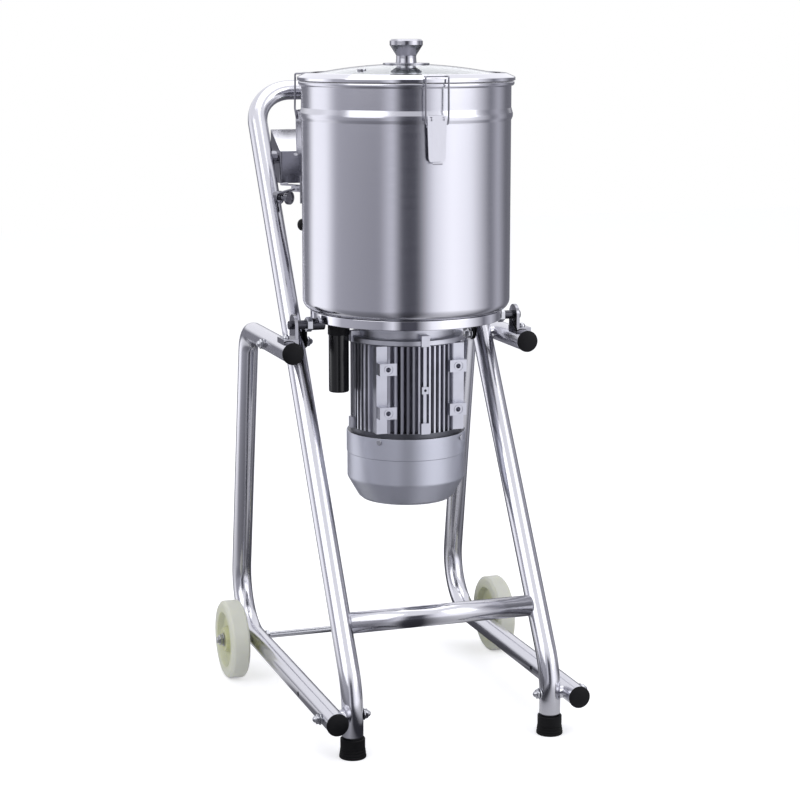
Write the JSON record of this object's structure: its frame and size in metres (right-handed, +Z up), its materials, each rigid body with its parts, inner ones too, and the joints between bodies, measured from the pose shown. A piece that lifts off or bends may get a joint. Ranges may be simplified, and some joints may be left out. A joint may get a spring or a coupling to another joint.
{
  "type": "commercial blender",
  "caption": "Floor-standing tilting blender: steel bucket with clamped glass lid over a finned motor, pivoting in a bent-tube stand with two wheels.",
  "frame": {"origin": "centre of the bounding box on the floor plane (bottom centre)", "axes": "+Z up, +X to the machine's right seen from behind its front feet, +Y to the rear, where the handle and wheels are"},
  "size_m": [0.616, 0.7005, 1.241],
  "materials": {
    "stand_tube": "polished stainless tube, sharp reflections",
    "bucket_steel": "brushed stainless sheet, fine grain round the wall",
    "ring_steel": "turned and polished stainless",
    "bracket_steel": "plain stainless plate, satin",
    "box_steel": "satin stainless sheet",
    "latch_steel": "bright pressed steel and wire",
    "knob_chrome": "polished chrome",
    "zinc_steel": "bright zinc-plated fasteners",
    "cast_aluminium": "bare die cast, slightly rough",
    "cowl_silver": "satin silver paint on pressed sheet",
    "dark_stator": "varnished laminations and windings",
    "black_plastic": "moulded black plastic",
    "black_gloss": "glossy black can",
    "black_rubber": "moulded rubber",
    "silicone": "translucent silicone",
    "cream_nylon": "cream nylon, satin",
    "clear_glass": "clear tempered glass",
    "green_button": "glossy green plastic",
    "red_button": "glossy red plastic"
  },
  "bodies": {
    "stand": {"handle_leg_frame": "stand_tube", "side_frame_left": "stand_tube", "side_frame_right": "stand_tube", "front_crossbar": "stand_tube", "rubber_feet": "black_rubber", "tube_end_plugs": "black_plastic", "wheel_axle": "zinc_steel", "axle_nuts": "zinc_steel", "frame_bolts": "zinc_steel", "saddle_spacers": "stand_tube", "stop_tabs": "black_plastic", "pivot_bracket_left": "bracket_steel", "pivot_bracket_right": "bracket_steel", "bracket_bolts": "zinc_steel", "control_box": "box_steel", "control_box_cover": "box_steel", "cable_gland": "black_plastic", "lock_catch": "bracket_steel"},
    "bucket_unit": {"bucket": "bucket_steel", "base_ring": "ring_steel", "trunnion_pins": "ring_steel", "trunnion_nuts": "zinc_steel", "flange_bolts": "zinc_steel", "drive_end_shield": "cast_aluminium", "motor_housing": "cast_aluminium", "fan_end_shield": "cast_aluminium", "fan_cowl": "cowl_silver", "cowl_screws": "zinc_steel", "bearings": "zinc_steel", "stator": "dark_stator", "capacitor": "black_gloss", "capacitor_clamp": "black_plastic", "shaft_seal": "silicone", "latch_brackets": "bracket_steel", "lock_bracket": "bracket_steel"},
    "rotor": {"rotor_shaft": "zinc_steel", "rotor_core": "dark_stator", "cooling_fan": "black_plastic", "blade_spacers": "bracket_steel", "lower_blade": "bracket_steel", "upper_blade": "bracket_steel", "blade_nut": "ring_steel"},
    "lid": {"lid_glass": "clear_glass", "lid_rim": "ring_steel", "lid_gasket": "silicone", "lid_knob": "knob_chrome", "knob_washers": "ring_steel", "vent_grommet": "zinc_steel"},
    "latch_front_lever": {"latch_lever_front": "latch_steel"},
    "latch_left_lever": {"latch_lever_left": "latch_steel"},
    "latch_right_lever": {"latch_lever_right": "latch_steel"},
    "latch_front_bail": {"latch_bail_front": "latch_steel"},
    "latch_left_bail": {"latch_bail_left": "latch_steel"},
    "latch_right_bail": {"latch_bail_right": "latch_steel"},
    "lock_handle": {"lock_lever": "latch_steel"},
    "lock_loop": {"lock_bail": "latch_steel"},
    "left_wheel": {"wheel_left": "cream_nylon"},
    "right_wheel": {"wheel_right": "cream_nylon"},
    "start": {"start_button": "green_button"},
    "stop": {"stop_button": "red_button"}
  },
  "joints": [
    {"name": "bucket_tilt", "type": "hinge", "parent": "stand", "child": "bucket_unit", "pos_m": [0, -0.04826, 0.731], "axis": [1, 0, 0], "range_deg": [0, 100]},
    {"name": "blade_spin", "type": "hinge", "parent": "bucket_unit", "child": "rotor", "pos_m": [0, -0.04826, 0.616], "axis": [0, 0, 1], "continuous": true},
    {"name": "left_wheel_spin", "type": "hinge", "parent": "stand", "child": "left_wheel", "pos_m": [-0.276, 0.19674, 0.076], "axis": [1, 0, 0], "continuous": true},
    {"name": "right_wheel_spin", "type": "hinge", "parent": "stand", "child": "right_wheel", "pos_m": [0.276, 0.19674, 0.076], "axis": [1, 0, 0], "continuous": true},
    {"name": "lid_lift", "type": "slide", "parent": "bucket_unit", "child": "lid", "axis": [0, 0, 1], "range_m": [0, 0.12]},
    {"name": "front_latch_lever", "type": "hinge", "parent": "bucket_unit", "child": "latch_front_lever", "pos_m": [-0.01388, -0.24677, 1.106], "axis": [0.9976, -0.0698, 0], "range_deg": [-35, 0]},
    {"name": "front_latch_bail", "type": "hinge", "parent": "latch_front_lever", "child": "latch_front_bail", "pos_m": [-0.01409, -0.24977, 1.098], "axis": [0.9976, -0.0698, 0], "range_deg": [0, 205]},
    {"name": "left_latch_lever", "type": "hinge", "parent": "bucket_unit", "child": "latch_left_lever", "pos_m": [-0.16498, 0.06302, 1.106], "axis": [-0.5592, -0.829, 0], "range_deg": [-35, 0]},
    {"name": "left_latch_bail", "type": "hinge", "parent": "latch_left_lever", "child": "latch_left_bail", "pos_m": [-0.16747, 0.0647, 1.098], "axis": [-0.5592, -0.829, 0], "range_deg": [0, 205]},
    {"name": "right_latch_lever", "type": "hinge", "parent": "bucket_unit", "child": "latch_right_lever", "pos_m": [0.17886, 0.03898, 1.106], "axis": [-0.4384, 0.8988, 0], "range_deg": [-35, 0]},
    {"name": "right_latch_bail", "type": "hinge", "parent": "latch_right_lever", "child": "latch_right_bail", "pos_m": [0.18156, 0.04029, 1.098], "axis": [-0.4384, 0.8988, 0], "range_deg": [0, 205]},
    {"name": "lock_lever", "type": "hinge", "parent": "bucket_unit", "child": "lock_handle", "pos_m": [-0.14306, 0.14817, 0.96], "axis": [0.8083, 0.5887, 0], "range_deg": [0, 85]},
    {"name": "lock_loop", "type": "hinge", "parent": "lock_handle", "child": "lock_loop", "pos_m": [-0.14894, 0.15625, 0.96], "axis": [0.8083, 0.5887, 0], "range_deg": [0, 30]},
    {"name": "start_press", "type": "slide", "parent": "stand", "child": "start", "axis": [0, -1, 0], "range_m": [0, 0.003], "stiffness_N_per_m": 300},
    {"name": "stop_press", "type": "slide", "parent": "stand", "child": "stop", "axis": [0, -1, 0], "range_m": [0, 0.003], "stiffness_N_per_m": 300}
  ],
  "couplings": [
    {"joint": "front_latch_lever", "follows": "lid_lift", "rad_per_m": -5.076},
    {"joint": "front_latch_bail", "follows": "lid_lift", "rad_per_m": 29.743},
    {"joint": "left_latch_lever", "follows": "lid_lift", "rad_per_m": -5.076},
    {"joint": "left_latch_bail", "follows": "lid_lift", "rad_per_m": 29.743},
    {"joint": "right_latch_lever", "follows": "lid_lift", "rad_per_m": -5.076},
    {"joint": "right_latch_bail", "follows": "lid_lift", "rad_per_m": 29.743}
  ]
}
